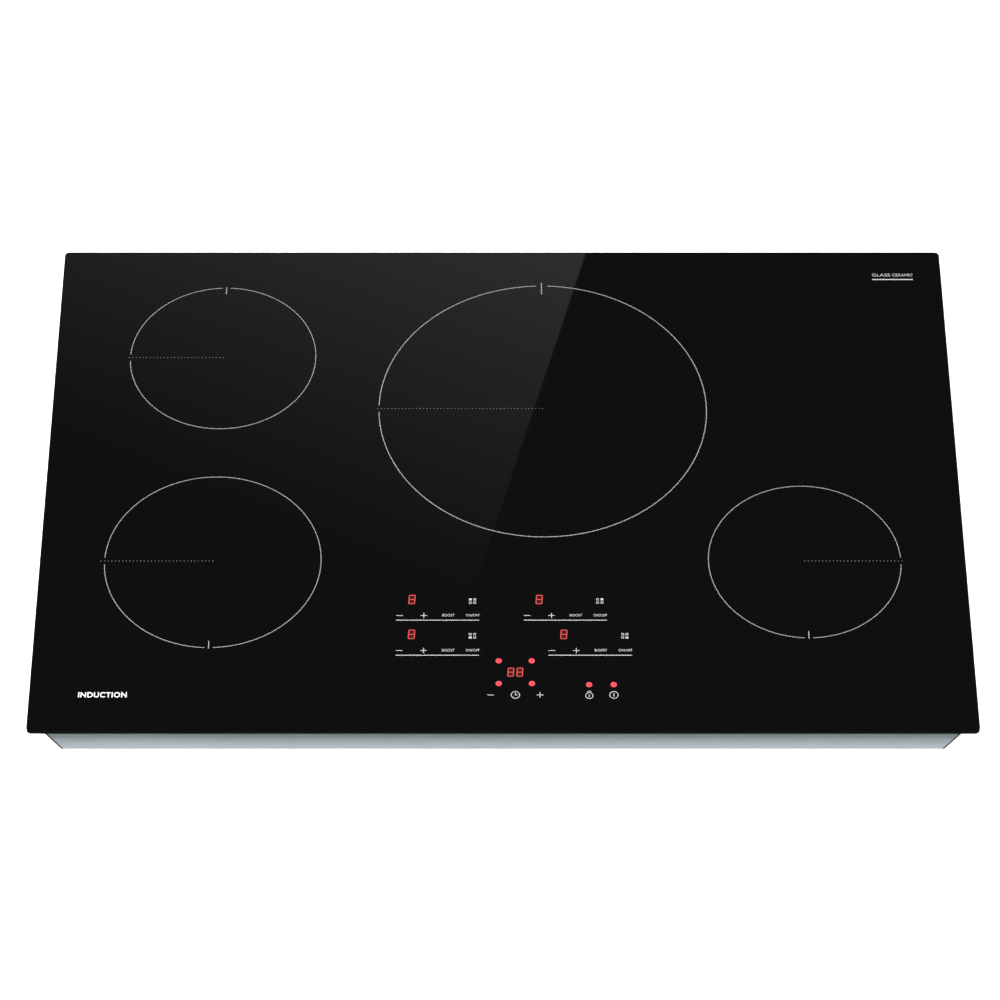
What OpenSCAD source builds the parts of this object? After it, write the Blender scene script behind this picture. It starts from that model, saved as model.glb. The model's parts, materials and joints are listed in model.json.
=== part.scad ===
// Built-in induction cooktop with four cooking zones: a bevelled black glass plate, bonded to
// folded steel rails and screwed down onto a shallow sheet-steel pan that holds the coils, the
// power electronics, two blowers and the touch control.
// Millimetres. X runs to the right, Y to the back and Z up. The origin is under the middle of
// the glass, on the surface that the pan's ribs stand on.

/* [Glass] */
// Width of the glass, left to right
glass_w = 770; // [766:1:790]
// Depth of the glass, front to back
glass_d = 520; // [518:1:530]
// Thickness of the glass
glass_t = 4; // [4:0.5:6]
// Radius of the glass corners
glass_corner_r = 4; // [3:0.5:8]
// Width and height of the ground bevel round the glass
glass_bevel = 0.8; // [0.5:0.1:2]

/* [Cooking zones] */
// Diameter of the rear left and front right zones
small_zone_d = 160; // [150:1:165]
// Diameter of the front left zone
medium_zone_d = 180; // [170:1:190]
// Diameter of the centre zone
large_zone_d = 280; // [270:1:284]
// Width of the printed zone lines
print_line = 0.9; // [0.6:0.1:1.2]

/* [Base pan] */
// Overall height, from the pan's ribs to the top of the glass
total_h = 60; // [60:0.5:64]
// Gap from the glass edge to the pan, left and right
pan_inset_x = 11; // [11:0.5:14]
// Gap from the glass edge to the pan, front and back
pan_inset_y = 18; // [17:0.5:18]
// How far the pan's foot steps in at the left and right
pan_taper_x = 12; // [8:0.5:12]
// How far the pan's foot steps in at the front and back
pan_taper_y = 6; // [5:0.5:8]
// Height of the upright part of the pan wall
pan_upright = 22.5; // [15:0.5:24]
// Thickness of the pan's sheet steel
sheet_t = 1; // [0.8:0.1:1.2]
// Height of the ribs pressed down from the pan floor
rib_h = 1.5; // [1.5:0.1:2]

/* [Blowers] */
// Radius of the blower impellers
impeller_r = 44; // [40:0.5:45]
// Number of blades on each impeller
blade_count = 30; // [20:1:36]

/* [Hidden] */
$fn = 64;
overlap = 0.01;
clear = 0.1;

// Heights
glass_z = total_h - glass_t;
floor_z = rib_h;
inside_z = floor_z + sheet_t;
pan_top_z = glass_z - 0.5;
kink_z = pan_top_z - pan_upright;
plate_z = 38;
plate_t = 1.2;
board_z = 7;
board_t = 1.6;
board_top = board_z + board_t;

// Pan half sizes at the rim and at the foot
pan_x = glass_w/2 - pan_inset_x;
pan_y = glass_d/2 - pan_inset_y;
foot_x = pan_x - pan_taper_x;
foot_y = pan_y - pan_taper_y;

// Each zone: name, centre, diameter, side of its lead dots and of its tick, number of ferrites
ZONES = [
    ["rear_left", [-241, 137], small_zone_d, -1, 1, 8],
    ["front_left", [-241, -86], medium_zone_d, -1, -1, 8],
    ["centre", [34.5, 79.5], large_zone_d, -1, 1, 12],
    ["front_right", [251, -86], small_zone_d, 1, -1, 8]
];
function zone_r(z) = z[2]/2;

// Control panel: the first key of each zone's row, the key spacing and the row spacing
key_pitch = 20;
row_pitch = 36;
key_y = -143;
timer_y = -224;
ZONE_KEYS = [[-85, key_y], [20, key_y], [-85, key_y - row_pitch], [40, key_y - row_pitch]];
timer_x = 10;
lock_x = 70;

// Glass support rails
rail_t = 1.2;
rail_flange = 12;
rail_drop = 14;
rail_top = glass_z - 1;
rail_x = pan_x - sheet_t;
rail_y = pan_y - sheet_t;

// Screws through the pan wall into the rails
wall_screw_r = 1.9;
wall_screw_z = pan_top_z - 7.5;
side_screw_y = [-120, 120];
front_screw_x = [-250, 0, 250];

// Foam seal
seal_w = 7;
seal_t = 3;
seal_inset = 3;

// Blowers: centre, and the side that each one blows to
BLOWERS = [["left", [-85, 42], -1], ["right", [60, 42], 1]];
scroll_r = 52;
scroll_wall = 1.6;
scroll_z = inside_z;
scroll_h = 29;
inlet_r = 36;
duct_reach = 62;
duct_low = -scroll_r;
duct_high = 8;
shaft_r = 1.5;
bush_r = 2.5;
impeller_z = scroll_z + 4;
cup_r = 17;
cup_wall = 1.5;

// Power boards: name, corner, size, heat sink corner
POWER = [
    ["left", [-335, -100], [185, 210], [-322, -8]],
    ["right", [134, -145], [190, 245], [150, -8]]
];
sink_size = [150, 54, 22];
sink_z = board_top + 5;
fin_count = 12;

// Leads: where each one leaves its coil, and the terminal that it goes down to
LEADS = [
    [[-251, 70], [-251, 66]], [[-231, 70], [-231, 66]],
    [[-251, -20], [-254, -26]], [[-231, -20], [-228, -26]],
    [[129, -5], [142, -24]], [[119, -17], [142, -40]],
    [[242, -20], [238, -26]], [[260, -20], [264, -26]]
];
lead_r = 2;
terminal_z = board_top + 5;

// Coil support plates and the posts that carry them
LEFT_PLATE = [[-352, -190], [-130, -190], [-130, 226], [-352, 226]];
RIGHT_PLATE = [
    [-118, -62], [158, -62], [158, -178], [346, -178], [346, 20], [186, 20], [186, 226], [-118, 226]
];
POSTS = [
    [-344, -180], [-139, -180], [-344, 217], [-139, 217], [-344, 20],
    [-109, -52], [-109, 217], [156, 217], [338, -170], [167, -170], [338, 10]
];

// Filter board, terminal box and control board
filter_corner = [14, 140];
filter_size = [150, 68];
box_centre = [223, 188];
box_size = [90, 58, 27];
box_wall = 2;
inlet_pos = [250, 188];
cable_r = 6.5;
control_corner = [-98, -229.5];
control_size = [216, 116];
control_z = 49;

// Fixing holes for the worktop brackets
bracket_x = 330;
bracket_y = 205;
bracket_hole_r = 1.75;

ZONE_NODES = ["coil_former_", "coil_winding_", "ferrites_"];
SIDE_NODES = ["coil_plate_", "blower_housing_", "blower_impeller_", "blower_shaft_"];

// ---- Shared shapes ----

// A slab with rounded corners
module rounded_slab(w, d, h, r) {
    linear_extrude(h) {
        square([w - 2*r, d], center = true);
        square([w, d - 2*r], center = true);
        for (x = [-1, 1], y = [-1, 1]) translate([x*(w/2 - r), y*(d/2 - r)]) circle(r);
    }
}

// A slot with round ends, lying along X and centred
module slot(length, width, h) {
    linear_extrude(h) {
        square([length - width, width], center = true);
        for (x = [-1, 1]) translate([x*(length - width)/2, 0]) circle(width/2);
    }
}

// A flat ring
module ring(outer, inner, h) {
    difference() {
        cylinder(h = h, r = outer);
        translate([0, 0, -1]) cylinder(h = h + 2, r = inner);
    }
}

// A pan-head screw with its head up and its seat at z = 0
module screw(head_r, head_h, shank_r, length) {
    difference() {
        union() {
            cylinder(h = head_h, r = head_r);
            translate([0, 0, -length]) cylinder(h = length + overlap, r = shank_r);
        }
        for (a = [0, 90]) rotate(a) translate([0, 0, head_h]) cube([head_r*1.2, 0.6, head_h], center = true);
    }
}

// The rim of a tube through the points of a path, and the whole tube as one closed surface
function unit(v) = v/norm(v);
function tangent(path, i) =
    unit(path[min(i + 1, len(path) - 1)] - path[max(i - 1, 0)]);
function side_of(t, up) = unit(cross(t, up));
function tube_points(path, r, sides, up) = [
    for (i = [0:len(path) - 1])
        let (t = tangent(path, i), s = side_of(t, up), n = cross(s, t))
            for (k = [0:sides - 1]) path[i] + r*(cos(360*k/sides)*s + sin(360*k/sides)*n)
];
function tube_faces(count, sides) = concat(
    [[for (k = [0:sides - 1]) k]],
    [for (i = [0:count - 2], k = [0:sides - 1])
        let (a = i*sides + k, b = i*sides + (k + 1)%sides) [a, a + sides, b + sides, b]],
    [[for (k = [sides - 1:-1:0]) (count - 1)*sides + k]]
);
module tube(path, r, sides, up) {
    polyhedron(tube_points(path, r, sides, up), tube_faces(len(path), sides));
}

// ---- Glass, print and seal ----

function bevel_profile(half) = [
    [-half, 0], [half, 0], [half, glass_t - glass_bevel], [half - glass_bevel, glass_t],
    [glass_bevel - half, glass_t], [-half, glass_t - glass_bevel]
];

module glass_top() {
    corner = glass_corner_r;
    color([0.03, 0.03, 0.03]) translate([0, 0, glass_z]) {
        rotate([90, 0, 90]) linear_extrude(glass_w - 2*corner, center = true)
            polygon(bevel_profile(glass_d/2));
        rotate([90, 0, 0]) linear_extrude(glass_d - 2*corner, center = true)
            polygon(bevel_profile(glass_w/2));
        for (x = [-1, 1], y = [-1, 1]) translate([x*(glass_w/2 - corner), y*(glass_d/2 - corner), 0])
            rotate_extrude() polygon([
                [0, 0], [corner, 0], [corner, glass_t - glass_bevel],
                [corner - glass_bevel, glass_t], [0, glass_t]
            ]);
    }
}

print_t = 0.05;
dot_pitch = 3;
break_w = 7;

// One zone's printed circle, broken at its tick and at its line of dots
module zone_print(zone) {
    r = zone_r(zone);
    long = r > 100 ? 1.6 : 1;
    difference() {
        ring(r + print_line/2, r - print_line/2, print_t);
        translate([zone[3]*r, 0, 0]) cube([20, break_w, 2], center = true);
        translate([0, zone[4]*r, 0]) cube([break_w*long, 20, 2], center = true);
    }
    translate([-print_line/2, zone[4]*(r - 2*long) - 4*long, 0]) cube([print_line, 8*long, print_t]);
    for (i = [0:floor((r + 2)/dot_pitch)]) translate([zone[3]*i*dot_pitch, 0, print_t/2])
        cube([print_line, print_line, print_t], center = true);
}

module zone_markings() {
    color([0.75, 0.75, 0.75]) translate([0, 0, total_h])
        for (zone = ZONES) translate(zone[1]) zone_print(zone);
}

// Printed signs of the touch keys
module bar(w, h) {
    translate([0, 0, print_t/2]) cube([w, h, print_t], center = true);
}
module minus_sign() {
    bar(5.4, 0.6);
}
module plus_sign() {
    union() {
        bar(5.4, 0.6);
        bar(0.6, 5.4);
    }
}
module place_icon(filled) {
    cell = 2.6;
    for (i = [0, 1], j = [0, 1]) translate([(i - 0.5)*(cell + 0.8), (j - 0.5)*(cell + 0.4), print_t/2])
        difference() {
            cube([cell, cell - 0.4, print_t], center = true);
            if (filled != [i, j]) cube([cell - 1, cell - 1.4, 1], center = true);
        }
}
module clock_sign() {
    ring(3.7, 3, print_t);
    translate([0.7, 0.8, 0]) union() {
        translate([-0.7, 0.4, 0]) bar(0.6, 2.4);
        bar(2, 0.6);
    }
}
module lock_sign() {
    translate([0, -0.8, 0]) ring(2.9, 2.2, print_t);
    translate([0, -0.8, 0]) bar(0.6, 2.4);
    translate([0, 3.3, 0]) bar(2.6, 0.6);
    for (x = [-1, 1]) translate([x, 2.6, 0]) bar(0.6, 0.79);
}
module power_sign() {
    ring(3.7, 3, print_t);
    bar(0.6, 3.6);
}

module control_markings() {
    filled = [[0, 1], [1, 1], [0, 0], [1, 0]];
    color([0.75, 0.75, 0.75]) translate([0, 0, total_h]) {
        for (i = [0:3]) translate(ZONE_KEYS[i]) {
            minus_sign();
            translate([key_pitch, 0, 0]) plus_sign();
            translate([2*key_pitch, 0, 0]) bar(10, 2);
            translate([3*key_pitch, 0, 0]) bar(11, 2);
            translate([1.5*key_pitch + 1.5, -4.7, 0]) bar(68, 0.8);
            translate([3*key_pitch, 15, 0]) place_icon(filled[i]);
        }
        translate([timer_x - key_pitch, timer_y, 0]) minus_sign();
        translate([timer_x, timer_y, 0]) clock_sign();
        translate([timer_x + key_pitch, timer_y, 0]) plus_sign();
        translate([lock_x, timer_y, 0]) lock_sign();
        translate([lock_x + key_pitch, timer_y, 0]) power_sign();
    }
}

// Four strips of foam that seal the glass to the worktop
module rim_seal() {
    out_x = glass_w/2 - seal_inset;
    out_y = glass_d/2 - seal_inset;
    color([0.12, 0.12, 0.12]) for (s = [-1, 1]) {
        translate([0, s*(out_y - seal_w/2), glass_z - seal_t/2])
            cube([2*out_x, seal_w, seal_t], center = true);
        translate([s*(out_x - seal_w/2), 0, glass_z - seal_t/2])
            cube([seal_w, 2*(out_y - seal_w) - 0.4, seal_t], center = true);
    }
}

// Silicone beads between the rails and the glass
module glass_bond() {
    bead = rail_flange - 2;
    color([0.8, 0.8, 0.78]) for (s = [-1, 1]) {
        translate([0, s*(rail_y - rail_t - bead/2), (rail_top + glass_z)/2])
            cube([2*rail_x - 4, bead, glass_z - rail_top], center = true);
        translate([s*(rail_x - rail_t - bead/2), 0, (rail_top + glass_z)/2])
            cube([bead, 2*(rail_y - rail_flange) - 2, glass_z - rail_top], center = true);
    }
}

// ---- Rails ----

// An angle along X whose web faces -Y, with a screw hole at each place
module angle(length, places) {
    difference() {
        rotate([90, 0, 90]) linear_extrude(length, center = true) polygon([
            [0, -rail_drop], [rail_t, -rail_drop], [rail_t, -rail_t],
            [rail_flange, -rail_t], [rail_flange, 0], [0, 0]
        ]);
        for (x = places) translate([x, -1, wall_screw_z - rail_top]) rotate([-90, 0, 0])
            cylinder(h = rail_t + 2, r = wall_screw_r + clear);
    }
}
module rail(turn, half, length, places) {
    color([0.7, 0.72, 0.73]) rotate(turn) translate([0, -half, rail_top]) angle(length, places);
}

// ---- Pan ----

// Half width of the wall at a height, between its foot and its upright part
function wall_at(rim, foot, z) = foot + (rim - foot)*(z - floor_z)/(kink_z - floor_z);
function wall_profile(rim, foot, low, high) = let (start = wall_at(rim, foot, low)) [
    [-start, low], [start, low], [rim, kink_z], [rim, high], [-rim, high], [-rim, kink_z]
];
module pan_block(shrink, low, high) {
    intersection() {
        rotate([90, 0, 0]) linear_extrude(glass_d, center = true)
            polygon(wall_profile(pan_x - shrink, foot_x - shrink, low, high));
        rotate([90, 0, 90]) linear_extrude(glass_w, center = true)
            polygon(wall_profile(pan_y - shrink, foot_y - shrink, low, high));
    }
}

// Ribs: centre, length, direction
RIBS = [
    [[0, -150], 560, 0], [[-100, 128], 420, 0], [[-12, 15], 180, 90],
    [[-344, -70], 120, 90], [[344, -70], 120, 90], [[-190, 190], 220, 0]
];
rib_w = 14;
module rib_outsides() {
    for (rib = RIBS) translate(rib[0]) rotate(rib[2]) slot(rib[1], rib_w, floor_z + sheet_t/2);
}
module rib_grooves() {
    for (rib = RIBS) translate([rib[0][0], rib[0][1], sheet_t]) rotate(rib[2])
        slot(rib[1] - 2*sheet_t, rib_w - 2*sheet_t, inside_z);
}

// Round air inlet of curved slots, cut through the floor under a blower
module inlet_grille() {
    spoke_w = 4;
    difference() {
        for (r = [10:6:34]) ring(r + 3, r, inside_z + 2);
        for (a = [0, 60, 120]) rotate(a) translate([0, 0, inside_z/2 + 1])
            cube([100, spoke_w, inside_z + 4], center = true);
    }
}

// A row of straight slots, running across X
module slot_row(count, pitch, length, width, depth) {
    for (i = [0:count - 1]) translate([(i - (count - 1)/2)*pitch, 0, 0])
        cube([width, length, depth], center = true);
}

module base_pan() {
    color([0.66, 0.7, 0.72]) difference() {
        union() {
            pan_block(0, floor_z, pan_top_z);
            rib_outsides();
        }
        pan_block(sheet_t, inside_z, pan_top_z + 5);
        rib_grooves();
        for (blower = BLOWERS) translate(blower[1]) inlet_grille();
        // Warm air leaves through the floor at the front and through the wall at the back
        for (x = [-235, 235]) translate([x, -200, floor_z]) slot_row(20, 8, 30, 3.2, 10);
        for (x = [-240, -40]) translate([x, foot_y + 3, 20]) slot_row(16, 8, 20, 3.2, 16);
        translate([box_centre[0], box_centre[1], floor_z])
            cube([box_size[0] - 6, box_size[1] - 6, 10], center = true);
        for (x = [-1, 1], y = [-1, 1]) translate([x*bracket_x, y*bracket_y, 0])
            cylinder(h = 10, r = bracket_hole_r);
        for (x = front_screw_x, s = [-1, 1]) translate([x, s*pan_y, wall_screw_z]) rotate([90, 0, 0])
            cylinder(h = 6, r = wall_screw_r + clear, center = true);
        for (y = side_screw_y, s = [-1, 1]) translate([s*pan_x, y, wall_screw_z]) rotate([0, 90, 0])
            cylinder(h = 6, r = wall_screw_r + clear, center = true);
        translate([earth_pos[0], earth_pos[1], 0]) cylinder(h = 10, r = 2 + clear);
        for (x = [-1, 1]) translate([box_centre[0] + x*cover_hole, box_centre[1], 0])
            cylinder(h = 10, r = 1.6);
    }
}

// Ten screws that hold the pan to the rails
module pan_screws() {
    module wall_screw() {
        rotate([90, 0, 0]) screw(3.5, 0.9, wall_screw_r, 5);
    }
    color([0.75, 0.76, 0.78]) {
        for (x = front_screw_x, s = [0, 180]) rotate(s) translate([x, -pan_y, wall_screw_z]) wall_screw();
        for (y = side_screw_y, s = [90, -90]) rotate(s) translate([y, -pan_x, wall_screw_z]) wall_screw();
    }
}

// ---- Mains connection, under the pan ----

cover_t = 1.2;
cover_hole = box_size[0]/2 + 5;
cover_size = [box_size[0] + 22, box_size[1] + 8];
earth_pos = [138, 222];

// A box in the floor, open below, whose flange lies on the floor inside
module terminal_box() {
    color([0.13, 0.13, 0.14]) translate([box_centre[0], box_centre[1], inside_z]) difference() {
        union() {
            rounded_slab(box_size[0], box_size[1], box_size[2], 4);
            rounded_slab(box_size[0] + 20, box_size[1] + 6, 2, 5);
        }
        translate([0, 0, -1])
            rounded_slab(box_size[0] - 2*box_wall, box_size[1] - 2*box_wall, box_size[2] + 1 - box_wall, 3);
        for (x = [-1, 1]) translate([x*cover_hole, 0, -1]) cylinder(h = 5, r = 1.3);
    }
}

// Five clamps in a row, with their screws facing down
module terminal_block() {
    ways = 5;
    way_w = 9;
    top = inside_z + box_size[2] - box_wall;
    color([0.9, 0.9, 0.86]) translate([box_centre[0] - 16, box_centre[1], top - 14]) difference() {
        union() {
            translate([0, 0, 7]) cube([ways*way_w, 22, 14], center = true);
            for (i = [0:ways]) translate([(i - ways/2)*way_w, 0, 5.5]) cube([1.4, 30, 17], center = true);
        }
        for (i = [0:ways - 1], y = [-6, 6]) translate([(i - (ways - 1)/2)*way_w, y, -1])
            cylinder(h = 8, r = 2.6);
    }
}

module terminal_cover() {
    color([0.15, 0.15, 0.16]) translate([box_centre[0], box_centre[1], floor_z - cover_t]) difference() {
        rounded_slab(cover_size[0], cover_size[1], cover_t, 5);
        for (x = [-1, 1]) translate([x*cover_hole, 0, -1]) cylinder(h = 5, r = 1.6);
        translate([inlet_pos[0] - box_centre[0], inlet_pos[1] - box_centre[1], -1])
            cylinder(h = 5, r = cable_r + 2);
    }
}

// Two screws that hold the cover; their low heads stay above the ribs
module cover_screws() {
    color([0.75, 0.76, 0.78]) for (x = [-1, 1])
        translate([box_centre[0] + x*cover_hole, box_centre[1], floor_z - cover_t]) rotate([180, 0, 0])
            screw(3, 0.25, 1.25, 5);
}

// Rubber bush in the cover that the mains cable passes through
module cable_grommet() {
    color([0.08, 0.08, 0.08]) translate([inlet_pos[0], inlet_pos[1], floor_z - cover_t])
        rotate_extrude() polygon([
            [cable_r, -0.25], [cable_r + 3.4, -0.25], [cable_r + 3.8, 0], [cable_r + 1.9, 0],
            [cable_r + 1.9, cover_t], [cable_r + 4, cover_t], [cable_r + 2.5, 7.75], [cable_r, 7.75]
        ]);
}

module rating_plate() {
    color([0.8, 0.8, 0.8]) translate([230, -60, floor_z - 0.3]) rounded_slab(90, 50, 0.3, 3);
}

module earth_screw() {
    color([0.8, 0.7, 0.3]) translate([earth_pos[0], earth_pos[1], inside_z]) {
        difference() {
            cylinder(h = 3, r = 4, $fn = 6);
            translate([0, 0, 2]) cube([9, 0.9, 2.1], center = true);
        }
        translate([0, 0, -sheet_t]) cylinder(h = sheet_t + overlap, r = 2);
    }
}

// ---- Coils ----

former_z = 49.5;
former_t = 2;
ferrite_h = 4.5;
winding_z = former_z + former_t;
mica_z = glass_z - 0.5;
wire_w = 3.3;
wire_pitch = 4.1;
foot_z = 45;
spring_wire = 0.5;
FEET = [0, 1, 2];
function ferrite_start(zone) = zone[5] > 8 ? 26 : 18;
function foot_place(zone, i) = let (step = 360/zone[5], turn = step*(floor(i*zone[5]/3) + 0.5))
    0.62*zone_r(zone)*[cos(turn), sin(turn)];

// Plastic disc with a hub and a rim that hold the winding, and three feet for the springs
module coil_former(zone) {
    r = zone_r(zone) - 2;
    wall_h = mica_z - winding_z;
    color([0.2, 0.2, 0.22]) translate([zone[1][0], zone[1][1], former_z]) difference() {
        union() {
            cylinder(h = former_t, r = r);
            translate([0, 0, former_t - overlap]) {
                ring(r, r - 1.6, wall_h + overlap);
                ring(17, 14.5, wall_h + overlap);
            }
            for (i = FEET) translate(foot_place(zone, i)) translate([0, 0, foot_z - former_z])
                cylinder(h = former_z - foot_z + overlap, r = 6);
        }
        translate([0, 0, -5]) cylinder(h = 20, r = 7.2);
        for (i = FEET) translate(foot_place(zone, i)) translate([0, 0, foot_z - former_z - 1])
            cylinder(h = 3.5, r = 2.5);
    }
}

// Spiral of stranded wire: one flat ribbon, wound from the hub to the rim
function spiral(r0, turns, offset, step) = [
    for (a = [0:step:360*turns]) (r0 + offset + wire_pitch*a/360)*[cos(a), sin(a)]
];
function reversed(list) = [for (i = [len(list) - 1:-1:0]) list[i]];
module coil_winding(zone) {
    r0 = 21;
    room = zone_r(zone) - 5 - r0 - wire_w/2;
    turns = floor(room/wire_pitch);
    step = 10;
    color([0.72, 0.4, 0.2]) translate([zone[1][0], zone[1][1], winding_z])
        linear_extrude(mica_z - winding_z - 0.1) polygon(
            concat(spiral(r0, turns, -wire_w/2, step), reversed(spiral(r0, turns, wire_w/2, step)))
        );
}

// Ferrite bars set like spokes under the former
module ferrites(zone) {
    start = ferrite_start(zone);
    color([0.16, 0.16, 0.17]) translate([zone[1][0], zone[1][1], former_z - ferrite_h/2])
        for (i = [0:zone[5] - 1]) rotate(i*360/zone[5])
            translate([(start + zone_r(zone) - 10)/2, 0, 0])
                cube([zone_r(zone) - 10 - start, 11, ferrite_h], center = true);
}

module mica_discs() {
    color([0.85, 0.83, 0.75]) for (zone = ZONES) translate([zone[1][0], zone[1][1], mica_z])
        cylinder(h = glass_z - mica_z, r = zone_r(zone) - 1);
}

// Temperature sensor in the middle of each coil, pressed up against the mica
module coil_sensors() {
    color([0.95, 0.95, 0.92]) for (zone = ZONES) translate([zone[1][0], zone[1][1], 0]) {
        translate([0, 0, 46]) cylinder(h = mica_z - 46, r = 6.5);
        translate([0, 0, 47]) cylinder(h = former_z - 47, r = 10);
    }
}

// Three compression springs under each coil, each with its own whole turns
module coil_springs() {
    turns = 3;
    spring_r = 4.4;
    low = plate_z + plate_t + spring_wire;
    rise = foot_z - spring_wire - low;
    steps = 10*turns;
    path = [for (i = [0:steps]) [spring_r*cos(36*i), spring_r*sin(36*i), low + rise*i/steps]];
    color([0.8, 0.8, 0.82]) for (zone = ZONES, i = FEET) translate(zone[1]) translate(foot_place(zone, i))
        tube(path, spring_wire, 4, [0, 0, 1]);
}

// ---- Coil plates ----

module coil_plate(side) {
    outline = side == "left" ? LEFT_PLATE : RIGHT_PLATE;
    color([0.82, 0.83, 0.84]) translate([0, 0, plate_z]) difference() {
        linear_extrude(plate_t) polygon(outline);
        for (post = POSTS) translate([post[0], post[1], -1]) cylinder(h = plate_t + 2, r = 1.8);
        for (lead = LEADS) translate([lead[0][0], lead[0][1], -1]) cylinder(h = plate_t + 2, r = 6);
        for (zone = ZONES) translate([zone[1][0], zone[1][1], -1]) cylinder(h = plate_t + 2, r = 12);
    }
}

module plate_posts() {
    color([0.8, 0.8, 0.78]) for (post = POSTS) translate([post[0], post[1], inside_z]) difference() {
        union() {
            cylinder(h = plate_z - inside_z, r = 4);
            cylinder(h = 3, r = 6);
        }
        translate([0, 0, plate_z - inside_z - 8]) cylinder(h = 9, r = 1.55);
    }
}

module plate_screws() {
    color([0.75, 0.76, 0.78]) for (post = POSTS) translate([post[0], post[1], plate_z + plate_t])
        screw(3.2, 1.8, 1.5, 7);
}

// Sleeved leads from the coils down to the power boards
module coil_leads() {
    low = terminal_z + 3;
    bend_top = plate_z - 2;
    bend_low = low + 3;
    color([0.85, 0.2, 0.15]) for (lead = LEADS) {
        a = lead[0];
        b = lead[1];
        path = concat(
            [[a[0], a[1], former_z], [a[0], a[1], former_z - 2], [a[0], a[1], bend_top + 2]],
            [for (s = [0:0.125:1]) let (blend = s*s*(3 - 2*s))
                [a[0] + (b[0] - a[0])*blend, a[1] + (b[1] - a[1])*blend, bend_top + (bend_low - bend_top)*s]],
            [[b[0], b[1], low + 1.5], [b[0], b[1], low]]
        );
        tube(path, lead_r, 10, [0, 1, 0]);
    }
}

// Brass studs on the boards, one for each lead
module lead_terminals() {
    color([0.8, 0.65, 0.3]) for (lead = LEADS) translate([lead[1][0], lead[1][1], board_top]) {
        cylinder(h = terminal_z - board_top, r = 4, $fn = 6);
        translate([0, 0, terminal_z - board_top - overlap]) cylinder(h = 3 + overlap, r = 2.6);
    }
}

// ---- Power electronics ----

module board(corner, size, holes) {
    difference() {
        translate([corner[0], corner[1], board_z]) cube([size[0], size[1], board_t]);
        for (hole = holes) translate([hole[0], hole[1], 0]) cylinder(h = 20, r = 1.6);
    }
}
function corner_holes(corner, size, inset) = [
    for (x = [inset, size[0] - inset], y = [inset, size[1] - inset]) corner + [x, y]
];
BOARD_HOLES = concat(
    [for (p = POWER) each corner_holes(p[1], p[2], 6)],
    corner_holes(filter_corner, filter_size, 6)
);

module power_boards() {
    color([0.1, 0.4, 0.2]) for (p = POWER) board(p[1], p[2], corner_holes(p[1], p[2], 6));
}
module filter_board() {
    color([0.1, 0.4, 0.2]) board(filter_corner, filter_size, corner_holes(filter_corner, filter_size, 6));
}

// Extruded aluminium: bases with upright fins that run along X, in line with the blowers
module heat_sinks() {
    base = 4;
    pitch = (sink_size[1] - 1.6)/(fin_count - 1);
    color([0.75, 0.76, 0.77]) for (p = POWER) translate([p[3][0], p[3][1], sink_z]) {
        cube([sink_size[0], sink_size[1], base]);
        for (i = [0:fin_count - 1]) translate([0, i*pitch, base - overlap])
            cube([sink_size[0], 1.6, sink_size[2] - base + overlap]);
    }
}

// Flat transistors and a rectifier between each board and its heat sink
module power_transistors() {
    color([0.12, 0.12, 0.13]) for (p = POWER, i = [0:3])
        translate([p[3][0] + 20 + i*32, p[3][1] + 16, board_top]) difference() {
            cube([16, 22, sink_z - board_top]);
            translate([8, 18, -1]) cylinder(h = 10, r = 1.8);
        }
}

// Capacitor: place, size
FILM = [
    [[-318, -90], [42, 20, 26]], [[-270, -90], [42, 20, 26]], [[-222, -90], [32, 16, 22]],
    [[-318, -62], [32, 14, 18]], [[-320, 84], [42, 20, 26]], [[-205, 84], [32, 16, 22]],
    [[150, -90], [42, 20, 26]], [[198, -90], [42, 20, 26]], [[246, -90], [32, 16, 22]],
    [[178, -62], [32, 14, 18]], [[150, 62], [42, 20, 26]], [[276, 62], [32, 16, 22]],
    [[30, 150], [32, 16, 22]], [[124, 150], [30, 14, 20]]
];
module film_capacitors() {
    color([0.8, 0.75, 0.3]) for (f = FILM) translate([f[0][0] + f[1][0]/2, f[0][1] + f[1][1]/2, board_top])
        rounded_slab(f[1][0], f[1][1], f[1][2], 2);
}

// Wound ring cores that lie on the boards
CHOKES = [[-176, -62], [-250, 92], [292, -62], [240, 74], [88, 172]];
module chokes() {
    color([0.5, 0.3, 0.15]) for (place = CHOKES) translate([place[0], place[1], board_top + 8]) {
        rotate_extrude() translate([11, 0]) square([8, 14], center = true);
        for (a = [0:30:330]) rotate(a) translate([11, 0, 0]) cube([10, 3, 16], center = true);
    }
}

// Short posts under the boards, each with a screw through the board
module board_posts() {
    color([0.85, 0.85, 0.8]) for (hole = BOARD_HOLES) translate([hole[0], hole[1], inside_z]) {
        cylinder(h = board_z - inside_z, r = 3.5);
        cylinder(h = board_top - inside_z + 1, r = 1.5);
        translate([0, 0, board_top - inside_z]) cylinder(h = 2, r = 2.8);
    }
}

// ---- Blowers ----

// Outline of the scroll, with its duct along +X
module scroll_outline(wall) {
    circle(scroll_r - wall);
    translate([0, duct_low + wall]) square([duct_reach + wall, duct_high - duct_low - 2*wall]);
}

// Closed scroll with an inlet below, a duct open at its end and a post for the motor
module blower_housing(blower) {
    low_t = scroll_wall;
    inner_h = scroll_h - 2*low_t;
    color([0.1, 0.1, 0.11]) translate([blower[1][0], blower[1][1], scroll_z])
        mirror([blower[2] < 0 ? 1 : 0, 0, 0]) difference() {
            union() {
                difference() {
                    linear_extrude(scroll_h) scroll_outline(0);
                    translate([0, 0, low_t]) linear_extrude(inner_h) scroll_outline(scroll_wall);
                }
                translate([0, 0, scroll_h - 17]) cylinder(h = 17, r = 4);
            }
            translate([0, 0, -1]) cylinder(h = low_t + 2, r = inlet_r);
            translate([0, 0, scroll_h - 18]) cylinder(h = 20, r = bush_r);
        }
}

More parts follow.
